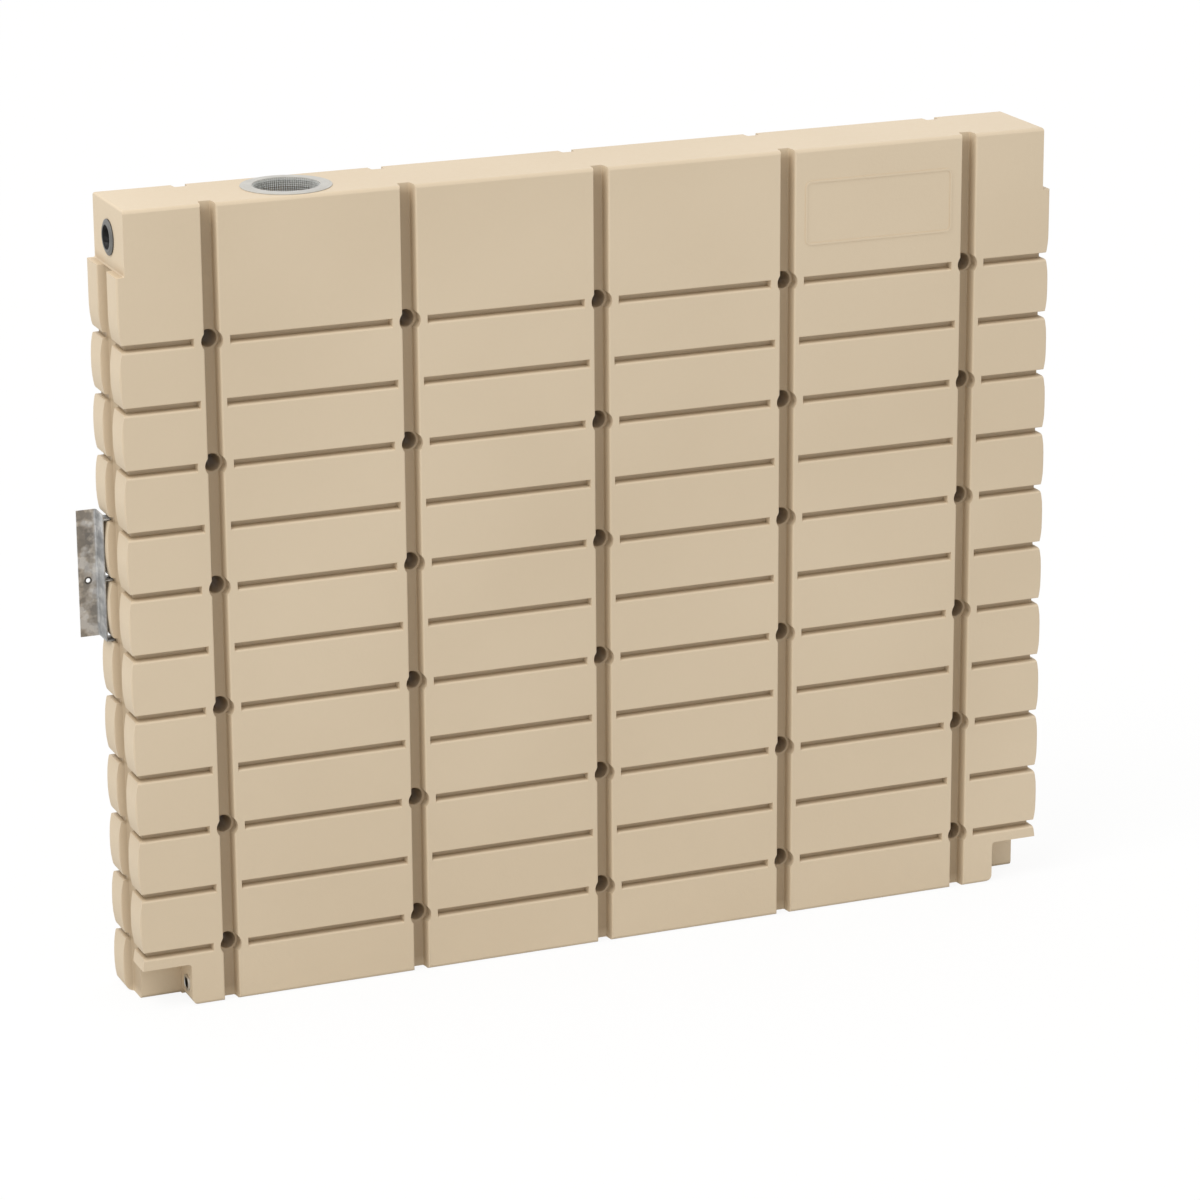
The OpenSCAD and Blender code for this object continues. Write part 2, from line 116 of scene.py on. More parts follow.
def studio_lamps():
    far = bpy.data.lights.new("far_key", "SUN")
    far.angle = math.radians(30.0)
    hang_lamp(far, 0.74, (-4.8, -2.4, 9.4), (0.0, 0.0, 1.0))
    near = bpy.data.lights.new("left_softbox", "AREA")
    near.shape = "RECTANGLE"
    near.size, near.size_y = 1.6, 1.6
    hang_lamp(near, 24.0, (-3.2, -0.8, 4.4), (-0.6, 0.0, 1.9))


def studio_room():
    """Soft light from all round, and a white background where the room itself is seen or mirrored."""
    world = bpy.data.worlds.new("studio_room")
    scene.world = world
    world.use_nodes = True
    tree = world.node_tree
    tree.nodes.clear()
    path = tree.nodes.new("ShaderNodeLightPath").outputs
    seen = path["Is Camera Ray"]
    for ray in ("Is Transmission Ray", "Is Glossy Ray"):
        either = tree.nodes.new("ShaderNodeMath")
        either.operation = "MAXIMUM"
        tree.links.new(seen, either.inputs[0])
        tree.links.new(path[ray], either.inputs[1])
        seen = either.outputs[0]
    soft = tree.nodes.new("ShaderNodeBackground")
    soft.inputs["Color"].default_value = ROOM_TINT
    soft.inputs["Strength"].default_value = ROOM_STRENGTH
    white = tree.nodes.new("ShaderNodeBackground")
    white.inputs["Color"].default_value = WHITE
    white.inputs["Strength"].default_value = 1.0
    pick = tree.nodes.new("ShaderNodeMixShader")
    out = tree.nodes.new("ShaderNodeOutputWorld")
    tree.links.new(seen, pick.inputs[0])
    tree.links.new(soft.outputs[0], pick.inputs[1])
    tree.links.new(white.outputs[0], pick.inputs[2])
    tree.links.new(pick.outputs[0], out.inputs["Surface"])


def pale_floor():
    """A matt floor that takes the tank's shadow, mostly white to the camera."""
    corners = [(x * FLOOR_HALF, y * FLOOR_HALF, 0) for x, y in ((-1, -1), (1, -1), (1, 1), (-1, 1))]
    mesh = bpy.data.meshes.new("pale_floor")
    mesh.from_pydata(corners, [], [(0, 1, 2, 3)])
    floor = bpy.data.objects.new("pale_floor", mesh)
    scene.collection.objects.link(floor)
    paint = bpy.data.materials.new("pale_floor_paint")
    paint.use_nodes = True
    tree = paint.node_tree
    tree.nodes.clear()
    matt = tree.nodes.new("ShaderNodeBsdfDiffuse")
    matt.inputs["Color"].default_value = FLOOR_TINT
    white = tree.nodes.new("ShaderNodeEmission")
    white.inputs["Strength"].default_value = FLOOR_WHITE
    path = tree.nodes.new("ShaderNodeLightPath")
    share = tree.nodes.new("ShaderNodeMath")
    share.operation = "MULTIPLY"
    share.inputs[1].default_value = FLOOR_WHITE_SHARE
    lift = tree.nodes.new("ShaderNodeMixShader")
    out = tree.nodes.new("ShaderNodeOutputMaterial")
    tree.links.new(path.outputs["Is Camera Ray"], share.inputs[0])
    tree.links.new(share.outputs[0], lift.inputs[0])
    tree.links.new(matt.outputs[0], lift.inputs[1])
    tree.links.new(white.outputs[0], lift.inputs[2])
    tree.links.new(lift.outputs[0], out.inputs["Surface"])
    mesh.materials.append(paint)


# Finishes

class Finish:
    """A node material under construction, with short ways to add and join its nodes."""

    def __init__(self, name, metallic=0.0, roughness=0.5):
        self.material = bpy.data.materials.new(name)
        self.material.use_nodes = True
        self.tree = self.material.node_tree
        self.surface = self.tree.nodes["Principled BSDF"]
        self.surface.inputs["Metallic"].default_value = metallic
        self.surface.inputs["Roughness"].default_value = roughness
        self.surface.inputs["IOR"].default_value = 1.5
        self.place = self.tree.nodes.new("ShaderNodeTexCoord").outputs["Object"]

    def join(self, source, target):
        self.tree.links.new(source, target)

    def grain(self, scale, detail=3.0, stretch=(1.0, 1.0, 1.0)):
        shift = self.tree.nodes.new("ShaderNodeMapping")
        shift.inputs["Scale"].default_value = stretch
        self.join(self.place, shift.inputs["Vector"])
        noise = self.tree.nodes.new("ShaderNodeTexNoise")
        noise.inputs["Scale"].default_value = scale
        noise.inputs["Detail"].default_value = detail
        self.join(shift.outputs[0], noise.inputs["Vector"])
        return noise.outputs["Fac"]

    def cells(self, scale, output="Color"):
        voronoi = self.tree.nodes.new("ShaderNodeTexVoronoi")
        voronoi.inputs["Scale"].default_value = scale
        self.join(self.place, voronoi.inputs["Vector"])
        return voronoi.outputs[output]

    def ramp(self, source, *stops):
        node = self.tree.nodes.new("ShaderNodeValToRGB")
        self.join(source, node.inputs[0])
        while len(node.color_ramp.elements) < len(stops):
            node.color_ramp.elements.new(0.5)
        for element, (at, colour) in zip(node.color_ramp.elements, stops):
            element.position = at
            element.color = (*colour, 1.0)
        return node.outputs[0]

    def blend(self, a, b, share, how="MIX"):
        node = self.tree.nodes.new("ShaderNodeMix")
        node.data_type = "RGBA"
        node.blend_type = how
        for socket, value in ((node.inputs[0], share), (node.inputs[6], a), (node.inputs[7], b)):
            if isinstance(value, bpy.types.NodeSocket):
                self.join(value, socket)
            elif isinstance(value, float):
                socket.default_value = value
            else:
                socket.default_value = (*value, 1.0)
        return node.outputs[2]

    def darken(self, colour, by, share):
        """Multiplies the colour, by nothing where the share is 0 and in full where it is 1."""
        return self.blend(colour, self.blend((1.0, 1.0, 1.0), by, share), 1.0, "MULTIPLY")

    def range(self, source, low, high, start=0.0, end=1.0):
        node = self.tree.nodes.new("ShaderNodeMapRange")
        self.join(source, node.inputs["Value"])
        for label, value in (("From Min", start), ("From Max", end), ("To Min", low), ("To Max", high)):
            node.inputs[label].default_value = value
        return node.outputs[0]

    def math(self, operation, *values):
        node = self.tree.nodes.new("ShaderNodeMath")
        node.operation = operation
        for socket, value in zip(node.inputs, values):
            if isinstance(value, float):
                socket.default_value = value
            else:
                self.join(value, socket)
        return node.outputs[0]

    def axes(self):
        node = self.tree.nodes.new("ShaderNodeSeparateXYZ")
        self.join(self.place, node.inputs[0])
        return node.outputs

    def within(self, a, b, centre, radius):
        """1 inside a circle about centre in the plane of the two given axes, and 0 outside."""
        off = [self.math("SUBTRACT", axis, at) for axis, at in zip((a, b), centre)]
        squares = [self.math("MULTIPLY", one, one) for one in off]
        return self.math("LESS_THAN", self.math("ADD", *squares), radius * radius)

    def bumps(self, *layers):
        before = None
        for height, depth in layers:
            node = self.tree.nodes.new("ShaderNodeBump")
            node.inputs["Distance"].default_value = depth
            node.inputs["Strength"].default_value = 1.0
            self.join(height, node.inputs["Height"])
            if before is not None:
                self.join(before, node.inputs["Normal"])
            before = node.outputs[0]
        self.join(before, self.surface.inputs["Normal"])

    def colour(self, source):
        self.join(source, self.surface.inputs["Base Color"])

    def roughness(self, source):
        self.join(source, self.surface.inputs["Roughness"])


def painted_groove_shade(f):
    """How deep a spot lies in a groove or end hollow, and how near it is to a cross groove's inner corner: the
    masks for the painted shade there.
    """
    sunk_from, sunk_full = 0.001, 0.026
    corner_drop, corner_reach = 0.005, 0.011
    along, across, height = f.axes()
    from_upright = f.math("PINGPONG", along, UPRIGHT_PITCH / 2)
    along = f.math("ABSOLUTE", along)
    end_face = f.range(height, END_X, CAP_X, LEDGE_Z, LEDGE_Z + LEDGE_RISE)
    under_end = f.math("SUBTRACT", end_face, along)
    under_face = f.math("SUBTRACT", FACE_Y, f.math("ABSOLUTE", across))
    under_top = f.math("MINIMUM", height, f.math("SUBTRACT", TANK_TOP, height))
    depth = f.math("MINIMUM", f.math("MINIMUM", under_end, under_face), under_top)

    below_pocket_top = f.math("LESS_THAN", height, POCKET_TOP + 0.001)
    before_pocket_back = f.math("LESS_THAN", across, 0.001 - POCKET_BACK)
    beyond_foot = f.math("GREATER_THAN", along, FOOT_X - 0.003)
    in_pocket = f.math("MULTIPLY", below_pocket_top, f.math("MULTIPLY", before_pocket_back, beyond_foot))
    sunk = f.math("MULTIPLY", f.range(depth, 0.0, 1.0, sunk_from, sunk_full), f.math("SUBTRACT", 1.0, in_pocket))

    off_floor = f.math("ABSOLUTE", f.math("SUBTRACT", depth, ROW_DEPTH))
    off_row = f.math("PINGPONG", f.math("SUBTRACT", height, ROW_BASE - corner_drop), ROW_PITCH / 2)
    near_corner = f.range(f.math("ADD", off_floor, off_row), 1.0, 0.0, 0.0, corner_reach)
    corner = f.math("MULTIPLY", near_corner, f.math("GREATER_THAN", from_upright, UPRIGHT_HALF))
    below_last_row = f.math("LESS_THAN", height, ROW_BASE + ROWS_ABOVE_FIRST * ROW_PITCH)
    return sunk, f.math("MULTIPLY", corner, below_last_row)


def moulded_tank_plastic():
    f = Finish("moulded_tank_plastic", roughness=0.5)
    drift = f.ramp(f.grain(1.3, 2.0), (0.30, (0.700, 0.570, 0.405)), (0.70, (0.755, 0.622, 0.450)))
    speck = f.ramp(f.grain(900.0, 2.0), (0.35, (0.93, 0.93, 0.93)), (0.65, (1.0, 1.0, 1.0)))
    skin = f.blend(drift, speck, 1.0, "MULTIPLY")
    sunk, corner = painted_groove_shade(f)
    # Painted shade: darker with depth in the grooves and end hollow, and darker still in the cross grooves' inner
    # corners
    skin = f.darken(skin, (0.70, 0.665, 0.62), sunk)
    f.colour(f.darken(skin, (0.66, 0.62, 0.56), corner))
    f.roughness(f.range(f.grain(60.0, 3.0), 0.44, 0.60))
    f.bumps((f.grain(7.0, 1.0), 0.0016), (f.grain(120.0, 2.0), 0.00030), (f.grain(700.0, 2.0), 0.00012))
    return f.material


def pale_grey_plastic():
    f = Finish("pale_grey_plastic", roughness=0.42)
    f.colour(f.ramp(f.grain(30.0, 3.0), (0.35, (0.475, 0.460, 0.425)), (0.65, (0.530, 0.515, 0.475))))
    f.roughness(f.range(f.grain(150.0, 2.0), 0.36, 0.52))
    f.bumps((f.grain(500.0, 2.0), 0.00008))
    return f.material


def grey_fitting_plastic():
    f = Finish("grey_fitting_plastic", roughness=0.45)
    outside = f.ramp(f.grain(40.0, 3.0), (0.35, (0.135, 0.133, 0.128)), (0.65, (0.170, 0.168, 0.160)))
    _, across, height = f.axes()
    # Painted shade: the bore is coloured near black
    shaded_bore = f.within(across, height, (0.0, OVERFLOW_Z), OVERFLOW_R + 0.0016)
    f.colour(f.blend(outside, (0.022, 0.021, 0.022), shaded_bore))
    f.roughness(f.range(f.grain(200.0, 2.0), 0.38, 0.55))
    f.bumps((f.grain(600.0, 2.0), 0.00008))
    return f.material


def drawn_wire():
    f = Finish("drawn_wire", metallic=0.25, roughness=0.4)
    f.colour(f.ramp(f.grain(400.0, 2.0), (0.35, (0.76, 0.77, 0.75)), (0.65, (0.86, 0.87, 0.85))))
    f.roughness(f.range(f.grain(900.0, 1.0), 0.30, 0.50))
    f.bumps((f.grain(2500.0, 1.0), 0.00002))
    return f.material


def turned_metal():
    f = Finish("turned_metal", metallic=1.0, roughness=0.35)
    outside = f.ramp(f.grain(60.0, 3.0), (0.35, (0.62, 0.61, 0.58)), (0.65, (0.74, 0.73, 0.70)))
    _, across, height = f.axes()
    # Painted shade: the bore is coloured dark brown-black
    shaded_bore = f.within(across, height, (OUTLET_Y, OUTLET_Z), 0.0134)
    f.colour(f.blend(outside, (0.055, 0.048, 0.040), shaded_bore))
    f.roughness(f.range(f.grain(300.0, 2.0, (6.0, 1.0, 1.0)), 0.26, 0.46))
    f.bumps((f.grain(500.0, 1.0, (8.0, 0.3, 0.3)), 0.00003))
    return f.material


def zinc_spangle():
    """Stained on the flange, bare on the web, in crystals all over, and dark in a disc round the bolt hole."""
    f = Finish("zinc_spangle", metallic=0.45, roughness=0.45)
    stain = f.ramp(f.grain(38.0, 2.0), (0.40, (0.330, 0.298, 0.262)), (0.49, (0.500, 0.446, 0.385)),
                   (0.60, (0.690, 0.660, 0.625)))
    bare = f.ramp(f.grain(34.0, 3.0, (1.0, 0.35, 1.0)), (0.38, (0.360, 0.368, 0.375)),
                  (0.62, (0.680, 0.684, 0.680)))
    along, _, height = f.axes()
    out = f.math("ABSOLUTE", along)
    colour = f.blend(bare, stain, f.range(out, 0.0, 1.0, WEB_X + 0.003, WEB_X + 0.009))
    crystal = f.ramp(f.cells(75.0), (0.15, (0.76, 0.77, 0.79)), (0.85, (1.0, 1.0, 0.99)))
    colour = f.blend(colour, crystal, 1.0, "MULTIPLY")
    # A dark disc round the bolt hole
    dark_disc = f.within(out, height, (BOLT_X, BOLT_Z), 0.0095)
    f.colour(f.blend(colour, (0.110, 0.098, 0.085), dark_disc))
    f.roughness(f.range(f.cells(75.0), 0.36, 0.56))
    f.bumps((f.cells(75.0, "Distance"), 0.00006), (f.grain(400.0, 2.0), 0.00004))
    return f.material


def black_rubber():
    f = Finish("black_rubber", roughness=0.75)
    f.colour(f.ramp(f.grain(200.0, 2.0), (0.35, (0.016, 0.016, 0.016)), (0.65, (0.028, 0.028, 0.027))))
    f.roughness(f.range(f.grain(300.0, 2.0), 0.65, 0.85))
    f.bumps((f.grain(800.0, 2.0), 0.00008))
    return f.material


# Shared ways to make a piece

def link_piece(name, mesh, *materials):
    piece = bpy.data.objects.new(name, mesh)
    scene.collection.objects.link(piece)
    mesh.materials.clear()
    for material in materials:
        mesh.materials.append(material)
    return piece


def settle(piece, slot, *stands_for):
    """Puts the piece on the body and hides the parts of the model that it stands for."""
    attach(piece, "root")
    if stands_for:
        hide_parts(*stands_for)


def baked_mesh(piece):
    """The piece's mesh with its modifiers applied."""
    return bpy.data.meshes.new_from_object(piece.evaluated_get(bpy.context.evaluated_depsgraph_get()))


def as_mesh(build, name):
    mesh = bpy.data.meshes.new(name)
    build.to_mesh(mesh)
    build.free()
    return mesh


def smooth_by_angle(mesh, degrees):
    mesh.shade_smooth()
    mesh.set_sharp_from_angle(angle=math.radians(degrees))


def turned(name, outline, steps):
    """A closed outline of (radius, height) points turned about Z."""
    build = bmesh.new()
    rings = []
    for i in range(steps):
        a = 2 * math.pi * i / steps
        rings.append([build.verts.new((r * math.cos(a), r * math.sin(a), z)) for r, z in outline])
    n = len(outline)
    for i in range(steps):
        here, there = rings[i], rings[(i + 1) % steps]
        for j in range(n):
            build.faces.new((here[j], there[j], there[(j + 1) % n], here[(j + 1) % n]))
    bmesh.ops.recalc_face_normals(build, faces=build.faces)
    return as_mesh(build, name)


def rounded(points, radius, steps):
    """A closed outline with each of its corners rounded."""
    result = []
    count = len(points)
    for i in range(count):
        here = Vector(points[i])
        back = Vector(points[i - 1]) - here
        ahead = Vector(points[(i + 1) % count]) - here
        angle = back.angle(ahead)
        reach = min(radius / math.tan(angle / 2), back.length * 0.45, ahead.length * 0.45)
        start, end = here + back.normalized() * reach, here + ahead.normalized() * reach
        for k in range(steps + 1):
            t = k / steps
            result.append(tuple(start * (1 - t) ** 2 + here * 2 * t * (1 - t) + end * t * t))
    return result


# The tank

def flat_sizes(build):
    """For each triangle, the area of the whole flat that it belongs to."""
    flat_of = [-1] * len(build.faces)
    areas = []
    for first in build.faces:
        if flat_of[first.index] >= 0:
            continue
        flat_of[first.index] = len(areas)
        waiting, total = [first], 0.0
        while waiting:
            face = waiting.pop()
            total += face.calc_area()
            for edge in face.edges:
                for other in edge.link_faces:
                    if flat_of[other.index] < 0 and face.normal.dot(other.normal) > 0.999995:
                        flat_of[other.index] = len(areas)
                        waiting.append(other)
        areas.append(total)
    return np.array(areas)[flat_of]


def shade_from_flats(mesh, sizes, degrees):
    """Leads the shading at each corner by the widest flat there, so that roundings run out into the flats."""
    count = len(mesh.loops)
    vertex, normal = np.empty(count, int), np.empty(len(mesh.polygons) * 3)
    mesh.loops.foreach_get("vertex_index", vertex)
    mesh.polygons.foreach_get("normal", normal)
    normal = np.repeat(normal.reshape(-1, 3), 3, axis=0)
    weight = np.repeat(sizes, 3)
    order = np.argsort(vertex, kind="stable")
    starts = np.flatnonzero(np.diff(vertex[order], prepend=-1))
    fans = np.diff(starts, append=count)
    shading = np.empty((count, 3))
    for size in np.unique(fans):
        corners = order[starts[fans == size][:, None] + np.arange(size)]
        around = normal[corners]
        alike = np.einsum("nax,nbx->nab", around, around) > math.cos(math.radians(degrees))
        shading[corners] = np.einsum("nab,nb,nbx->nax", alike, weight[corners], around)
    shading /= np.linalg.norm(shading, axis=1, keepdims=True)
    mesh.normals_split_custom_set(shading.tolist())


def tank_moulding(plastic):
    crease = 32
    build = bmesh.new()
    build.from_mesh(nodes["tank_shell"].data)
    bmesh.ops.remove_doubles(build, verts=build.verts, dist=0.00002)
    build.normal_update()
    sizes = flat_sizes(build)
    mesh = as_mesh(build, "tank_moulding")
    smooth_by_angle(mesh, crease)
    shade_from_flats(mesh, sizes, crease)
    settle(link_piece("tank_moulding", mesh, plastic), "shell", "tank_shell")


# The inlet strainer

def strainer_ring(plastic):
    inside, edge = SLEEVE_R - SLEEVE_T, FLANGE_T - 0.0008
    catch, catch_low, catch_high = inside - 0.0015, -0.0059, -0.0044
    outline = [
        (RING_R, -LIP), (RING_R, FLANGE_T), (RING_OUT_R - 0.010, FLANGE_T), (RING_OUT_R - 0.007, edge),
        (RING_OUT_R, edge), (RING_OUT_R, 0.0), (SLEEVE_R, 0.0), (SLEEVE_R, -SLEEVE_H), (inside, -SLEEVE_H),
        (inside, catch_low), (catch, catch_low), (catch, catch_high), (inside, catch_high), (inside, -LIP),
    ]
    mesh = turned("strainer_ring_moulding", rounded(outline, 0.0010, 4), 144)
    mesh.transform(Matrix.Translation((INLET_X, 0.0, TANK_TOP)))
    smooth_by_angle(mesh, 40)
    settle(link_piece("strainer_ring_moulding", mesh, plastic), "strainer_plastic", "strainer_ring")


class Recipe:
    """A Geometry Nodes tree with named inputs, put together step by step."""

    def __init__(self, name, **sizes):
        self.tree = bpy.data.node_groups.new(name, "GeometryNodeTree")
        for label, value in sizes.items():
            kind = "NodeSocketInt" if isinstance(value, int) else "NodeSocketFloat"
            self.tree.interface.new_socket(label, in_out="INPUT", socket_type=kind)
        self.tree.interface.new_socket("Geometry", in_out="OUTPUT", socket_type="NodeSocketGeometry")
        self.sizes = sizes
        self.given = self.tree.nodes.new("NodeGroupInput").outputs
        self.result = self.tree.nodes.new("NodeGroupOutput").inputs[0]

    def step(self, kind, ins, **settings):
        node = self.tree.nodes.new(kind)
        for key, value in settings.items():
            setattr(node, key, value)
        for key, value in ins.items():
            for one in value if isinstance(value, list) else [value]:
                if isinstance(one, bpy.types.NodeSocket):
                    self.tree.links.new(one, node.inputs[key])
                else:
                    node.inputs[key].default_value = one
        return node.outputs[0]

    def math(self, operation, a, b=0.0):
        return self.step("ShaderNodeMath", {0: a, 1: b}, operation=operation)

    def times(self, a, b):
        return self.math("MULTIPLY", a, b)

    def vector(self, x, y, z):
        return self.step("ShaderNodeCombineXYZ", {0: x, 1: y, 2: z})

    def circle(self, points, radius):
        return self.step("GeometryNodeCurvePrimitiveCircle", {"Resolution": points, "Radius": radius},
                         mode="RADIUS")

    def wire(self, path, profile, closed=False):
        return self.step("GeometryNodeCurveToMesh",
                         {"Curve": path, "Profile Curve": profile, "Fill Caps": not closed})

    def place(self, points, piece, **turn_or_scale):
        return self.step("GeometryNodeInstanceOnPoints", {"Points": points, "Instance": piece, **turn_or_scale})

    def make(self, name, parts, material):
        joined = self.step("GeometryNodeJoinGeometry", {0: parts})
        solid = self.step("GeometryNodeRealizeInstances", {"Geometry": joined})
        painted = self.step("GeometryNodeSetMaterial", {"Geometry": solid, "Material": material})
        self.tree.links.new(painted, self.result)
        maker = bpy.data.objects.new(name + "_maker", bpy.data.meshes.new(name + "_maker"))
        modifier = maker.modifiers.new("recipe", "NODES")
        modifier.node_group = self.tree
        for item in self.tree.interface.items_tree:
            if item.in_out == "INPUT":
                modifier[item.identifier] = self.sizes[item.name]
        scene.collection.objects.link(maker)
        mesh = baked_mesh(maker)
        mesh.name = name
        maker.modifiers.clear()
        bpy.data.objects.remove(maker)
        return mesh


def waving_hoops(recipe):
    """Thin hoops that wave in and out past the uprights, turned by one upright from row to row."""
    step, times, given = recipe.step, recipe.times, recipe.given
    number = step("GeometryNodeInputIndex", {})
    outwards = step("ShaderNodeVectorMath", {0: step("GeometryNodeInputPosition", {})}, operation="NORMALIZE")
    wave = times(recipe.math("COSINE", times(number, math.pi / 2)), times(given["wire"], 0.6))
    push = step("ShaderNodeVectorMath", {0: outwards, "Scale": wave}, operation="SCALE")
    circle = recipe.circle(times(given["uprights"], 2), given["radius"])
    waved = step("GeometryNodeSetPosition", {"Geometry": circle, "Offset": push})
    hoop = recipe.wire(waved, recipe.circle(5, times(given["wire"], 0.5)), closed=True)
    gap = recipe.math("DIVIDE", given["depth"], given["hoops"])
    rows = step("GeometryNodeMeshLine", {"Count": given["hoops"],
                                         "Start Location": recipe.vector(0.0, 0.0, times(gap, -0.6)),
                                         "Offset": recipe.vector(0.0, 0.0, times(gap, -1.0))})
    turn = recipe.vector(0.0, 0.0, recipe.math("DIVIDE", times(number, 2 * math.pi), given["uprights"]))
    return recipe.place(rows, hoop, Rotation=turn)


def upright_wires(recipe, profile):
    step, given = recipe.step, recipe.given
    foot = recipe.vector(0.0, 0.0, recipe.times(given["depth"], -1.0))
    upright = recipe.wire(step("GeometryNodeCurvePrimitiveLine", {"End": foot}), profile)
    ring = step("GeometryNodeMeshCircle", {"Vertices": given["uprights"], "Radius": given["radius"]})
    return recipe.place(ring, upright)


def floor_wires(recipe, profile, layer):
    """Straight wires side by side, each cut to the circle, one wire's thickness up for each layer."""
    step, times, given = recipe.step, recipe.times, recipe.given
    unit = step("GeometryNodeCurvePrimitiveLine", {"Start": (-1.0, 0.0, 0.0), "End": (1.0, 0.0, 0.0)})
    spread = recipe.math("DIVIDE", times(given["radius"], 2.0), FLOOR_WIRES + 1.0)
    first = times(spread, -(FLOOR_WIRES - 1) / 2)
    height = recipe.math("ADD", times(given["depth"], -1.0), times(given["wire"], 2.0 * layer))
    line = step("GeometryNodeMeshLine", {"Count": FLOOR_WIRES, "Start Location": recipe.vector(0.0, first, height),
                                         "Offset": recipe.vector(0.0, spread, 0.0)})
    off = step("ShaderNodeSeparateXYZ", {0: step("GeometryNodeInputPosition", {})}).node.outputs["Y"]
    inside = recipe.math("SUBTRACT", times(given["radius"], given["radius"]), times(off, off))
    half = recipe.math("SQRT", inside)
    return recipe.place(line, recipe.wire(unit, profile), Scale=recipe.vector(half, 1.0, 1.0))


def wire_basket(metal):
    recipe = Recipe("woven_basket", radius=BASKET_R - WIRE_INSET, depth=BASKET_H - 0.001 + WIRE_RISE,
                    uprights=UPRIGHT_WIRES, hoops=HOOP_WIRES, wire=WIRE_R)
    profile = recipe.circle(5, recipe.given["wire"])
    lower, upper = (floor_wires(recipe, profile, layer) for layer in (0, 1))
    crossed = recipe.step("GeometryNodeTransform", {"Geometry": upper, "Rotation": (0.0, 0.0, math.pi / 2)})
    parts = [waving_hoops(recipe), upright_wires(recipe, profile), lower, crossed]
    mesh = recipe.make("strainer_wire_mesh", parts, metal)
    mesh.transform(Matrix.Translation((INLET_X, 0.0, TANK_TOP - LIP + WIRE_RISE)))
    mesh.shade_smooth()
    settle(link_piece("strainer_wire_mesh", mesh, metal), "strainer_mesh", "strainer_basket")


def basket_bands(metal):
    """The hem round the basket's foot and the flat rim that hangs in the ring."""
    band, band_top = BASKET_R - 0.0012, -BASKET_H + 0.0045
    foot, foot_top = BASKET_R - 0.0080, -BASKET_H + 0.0010
    hem = [(band, band_top), (BASKET_R, band_top), (BASKET_R, -BASKET_H),
           (foot, -BASKET_H), (foot, foot_top), (band, foot_top)]
    rim_in, rim_top = BASKET_R - 0.0006, -0.0001
    rim = [(rim_in, -RIM_T), (RIM_R, -RIM_T), (RIM_R, rim_top), (rim_in, rim_top)]
    build = bmesh.new()
    for outline in (hem, rim):
        ring = turned("band", rounded(outline, 0.0003, 2), 112)
        build.from_mesh(ring)
        bpy.data.meshes.remove(ring)
    mesh = as_mesh(build, "strainer_bands")
    mesh.transform(Matrix.Translation((INLET_X, 0.0, TANK_TOP - LIP)))
    smooth_by_angle(mesh, 40)
    settle(link_piece("strainer_bands", mesh, metal), "strainer_mesh")


# Threaded fittings

def cut_thread(mesh, bore_r, pitch, depth, low, high):
    """Turns the plain bore of radius bore_r between two heights into a right-hand inside thread."""
    for vertex in mesh.vertices:
        x, y, z = vertex.co
        r = math.hypot(x, y)
        if abs(r - bore_r) < 0.0001 and low <= z <= high:
            t = (z / pitch - math.atan2(y, x) / (2 * math.pi)) % 1.0
            fade = min(1.0, (z - low) / pitch, (high - z) / pitch)
            grown = r + depth * max(0.0, fade) * (1.0 - abs(2.0 * t - 1.0))
            vertex.co.x, vertex.co.y = x * grown / r, y * grown / r


def bore_points(bore_r, low, high, pitch):
    """The bore's side of an outline, with enough points for its thread, from high to low."""
    count = max(2, round((high - low) / pitch * 4))
    return [(bore_r, high + (low - high) * i / count) for i in range(count + 1)]


def overflow_fitting(plastic):
    back, edge, face, flange_r = -0.031, 0.0031, 0.0066, 0.043
    pitch, depth = 0.00231, 0.00130
    low, high = back + 0.0015, face - 0.0015
    outer = rounded([(OVERFLOW_R, back), (SPIGOT_R, back), (SPIGOT_R, SEAL_T), (flange_r, SEAL_T),
                     (flange_r, edge), (OVERFLOW_R + 0.0070, face), (OVERFLOW_R, face)], 0.0009, 4)
    outer = [(r, z) for r, z in outer
             if not (abs(r - OVERFLOW_R) < 1e-6 and back + 0.001 < z < face - 0.001)]
    mesh = turned("overflow_fitting", outer + bore_points(OVERFLOW_R, low, high, pitch), 96)
    cut_thread(mesh, OVERFLOW_R, pitch, depth, low, high)
    mesh.transform(OVERFLOW_PLACE)
    smooth_by_angle(mesh, 38)
    settle(link_piece("overflow_fitting", mesh, plastic), "fitting_plastic", "overflow_flange")


def overflow_seal(rubber):
    inner_r, outer_r = SPIGOT_R + 0.0003, 0.0429
    outline = rounded([(inner_r, 0.0), (outer_r, 0.0), (outer_r, SEAL_T), (inner_r, SEAL_T)], 0.0004, 3)
    mesh = turned("overflow_seal", outline, 96)
    mesh.transform(OVERFLOW_PLACE)
    smooth_by_angle(mesh, 40)
    settle(link_piece("overflow_seal", mesh, rubber), "gasket_rubber", "overflow_gasket")


def outlet_fitting(side, metal):
    name = "outlet_fitting_left" if side < 0 else "outlet_fitting_right"
    head, body, sink, rise, deep = 0.0205, 0.0170, -0.005, 0.004, -0.025
    mouth = rise - 0.0016
    pitch, depth = 0.00181, 0.00105
    low, high = deep + 0.0012, rise - 0.0028
    outer = rounded([(OUTLET_R, deep), (body, deep), (body, sink), (head, sink), (head, rise - 0.0006),
                     (head - 0.0016, rise), (OUTLET_R + 0.0028, rise), (OUTLET_R + 0.0008, mouth),
                     (OUTLET_R, mouth)], 0.0005, 3)
    mesh = turned(name, outer + bore_points(OUTLET_R, low, high, pitch), 80)
    cut_thread(mesh, OUTLET_R, pitch, depth, low, high)
    mesh.transform(Matrix.Translation((side * FOOT_X, OUTLET_Y, OUTLET_Z))
                   @ Matrix.Rotation(side * math.pi / 2, 4, "Y"))
    smooth_by_angle(mesh, 38)
    node = "outlet_insert_left" if side < 0 else "outlet_insert_right"
    settle(link_piece(name, mesh, metal), "insert_metal", node)


# Wall brackets

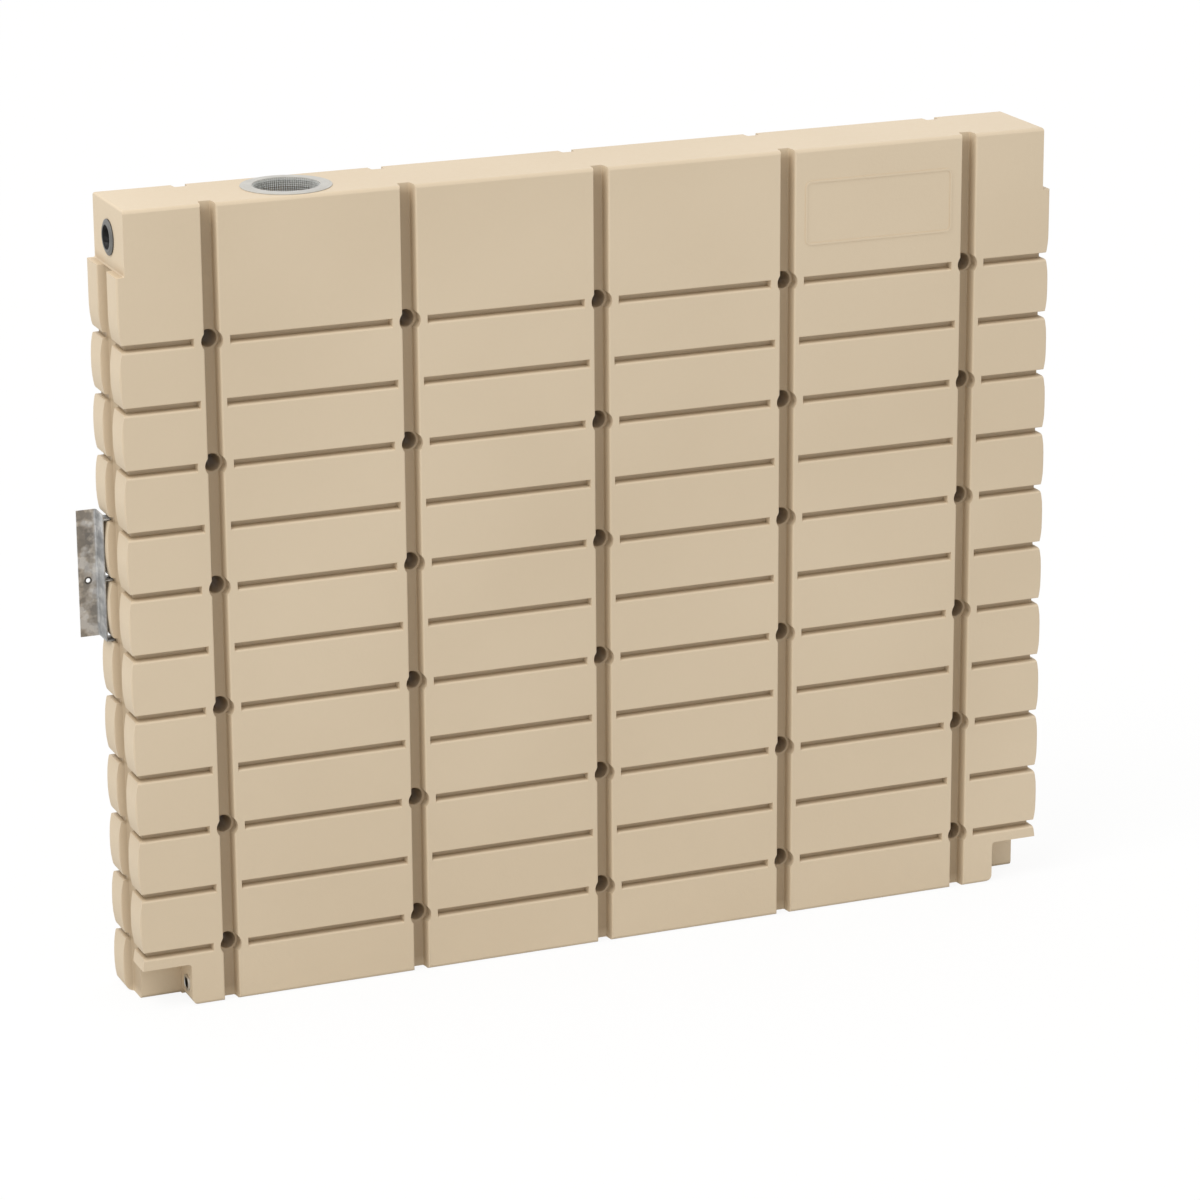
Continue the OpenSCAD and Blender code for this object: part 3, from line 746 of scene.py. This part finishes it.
def arc(cx, cy, r, a0, a1, steps=6):
    turns = [math.radians(a0 + (a1 - a0) * i / steps) for i in range(steps + 1)]
    return [(cx + r * math.cos(a), cy + r * math.sin(a)) for a in turns]


def solid_mesh(name, outline, low, high, lay):
    """An outline drawn in two directions and drawn out along the third; lay places (u, v, w)."""
    build = bmesh.new()
    rings = [[build.verts.new(lay(u, v, w)) for u, v in outline] for w in (low, high)]
    count = len(outline)
    build.faces.new(list(reversed(rings[0])))
    build.faces.new(rings[1])
    for i in range(count):
        j = (i + 1) % count
        build.faces.new((rings[0][i], rings[0][j], rings[1][j], rings[1][i]))
    bmesh.ops.recalc_face_normals(build, faces=build.faces)
    return as_mesh(build, name)


def join_or_cut(blank, how, mesh):
    helper = bpy.data.objects.new("helper", mesh)
    scene.collection.objects.link(helper)
    modifier = blank.modifiers.new("join", "BOOLEAN")
    modifier.operation = how
    modifier.solver = "EXACT"
    modifier.object = helper
    done = baked_mesh(blank)
    blank.modifiers.clear()
    blank.data = done
    bpy.data.objects.remove(helper)


def folded_bracket(side, zinc):
    name = "folded_bracket_left" if side < 0 else "folded_bracket_right"
    upright = lambda u, v, w: (side * u, v, w)
    level = lambda u, v, w: (side * u, w, v)

    flange_end, bend_x, bend_y = WEB_X + FLANGE_W, WEB_X + BEND_R, FACE_Y - BEND_R
    fold = [(flange_end, FACE_Y - SHEET), (flange_end, FACE_Y)] + arc(bend_x, bend_y, BEND_R, 90, 180)
    fold += [(WEB_X, WEB_FRONT), (WEB_X + SHEET, WEB_FRONT)]
    fold += reversed(arc(bend_x, bend_y, BEND_R - SHEET, 90, 180))
    blank = bpy.data.objects.new(name, solid_mesh(name, fold, BRACKET_LOW, BRACKET_HIGH, upright))
    scene.collection.objects.link(blank)

    tip, root = END_X - ROW_DEPTH + TONGUE_GAP, WEB_X + SHEET * 0.6
    for floor in TONGUE_FLOORS:
        strap = rounded([(tip, WEB_FRONT), (root, WEB_FRONT), (root, TONGUE_BACK), (tip, TONGUE_BACK)], 0.004, 4)
        join_or_cut(blank, "UNION", solid_mesh("tongue", strap, floor, floor + SHEET, upright))
    hole = arc(BOLT_X, BOLT_Z, BOLT_R, 0, 360 * 31 / 32, 31)
    join_or_cut(blank, "DIFFERENCE", solid_mesh("bolt_hole", hole, FACE_Y - 0.010, FACE_Y + 0.010, level))

    bevel = blank.modifiers.new("edge", "BEVEL")
    bevel.width = 0.0005
    bevel.segments = 2
    bevel.angle_limit = math.radians(50)
    mesh = baked_mesh(blank)
    bpy.data.objects.remove(blank)
    smooth_by_angle(mesh, 30)
    node = "wall_bracket_left" if side < 0 else "wall_bracket_right"
    settle(link_piece(name, mesh, zinc), "galvanised_steel", node)


# Putting it together

photo_camera()
studio_room()
pale_floor()
studio_lamps()

tank_moulding(moulded_tank_plastic())
strainer_ring(pale_grey_plastic())
wire = drawn_wire()
wire_basket(wire)
basket_bands(wire)
grey = grey_fitting_plastic()
overflow_fitting(grey)
overflow_seal(black_rubber())
nodes["overflow_nut"].data.materials.clear()
nodes["overflow_nut"].data.materials.append(grey)
metal = turned_metal()
zinc = zinc_spangle()
for end in (-1, 1):
    outlet_fitting(end, metal)
    folded_bracket(end, zinc)

scene.view_settings.view_transform = "Standard"
